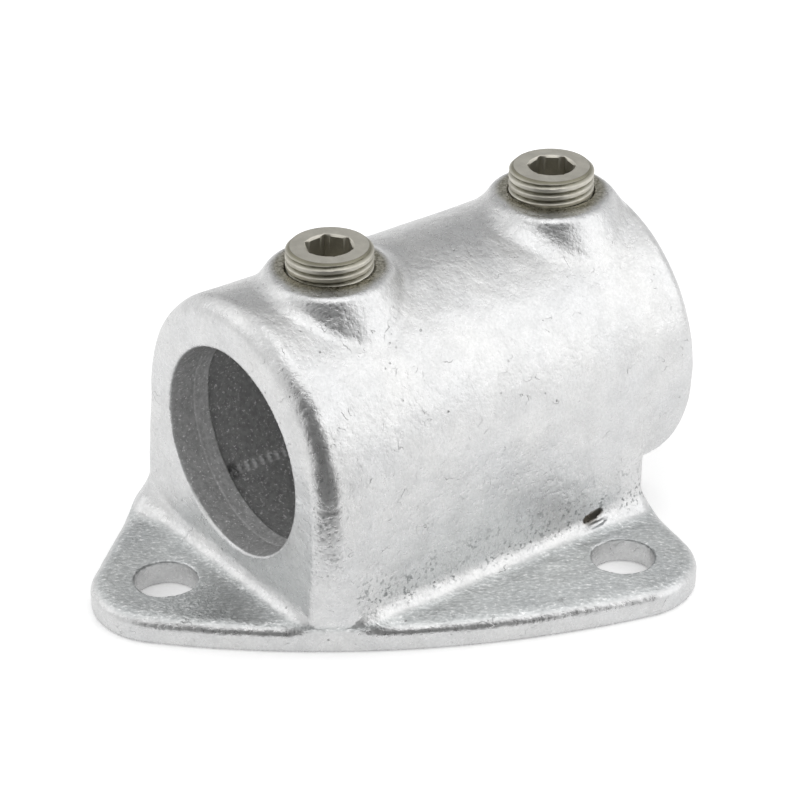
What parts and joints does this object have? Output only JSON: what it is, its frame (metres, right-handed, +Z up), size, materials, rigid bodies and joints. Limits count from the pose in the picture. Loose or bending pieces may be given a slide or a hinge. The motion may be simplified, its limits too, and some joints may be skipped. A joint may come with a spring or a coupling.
{
  "type": "side palm tube clamp fitting",
  "caption": "Cast tube clamp: a round tube socket on a pedestal with a two-lobed bolt-on palm, and grub screws in bosses on the crown that grip the tube.",
  "frame": {"origin": "on the base plane, under the tube axis, midway between the two screw axes", "axes": "+Y along the tube axis, away from the front face; +X towards the side lobe of the palm; +Z up from the base, towards the screws"},
  "size_m": [0.1075, 0.1406, 0.0826],
  "materials": {
    "galvanised_casting": "hot-dip galvanised casting, bright and slightly pitted",
    "plated_screw": "plated steel, satin"
  },
  "bodies": {
    "body": {"clamp_body": "galvanised_casting"},
    "front_screw": {"front_grub_screw": "plated_screw"},
    "rear_screw": {"rear_grub_screw": "plated_screw"}
  },
  "joints": [
    {"name": "front_screw_travel", "type": "slide", "parent": "body", "child": "front_screw", "axis": [0, 0, 1], "range_m": [-0.0025, 0.004]},
    {"name": "rear_screw_travel", "type": "slide", "parent": "body", "child": "rear_screw", "axis": [0, 0, 1], "range_m": [-0.0025, 0.004]}
  ]
}
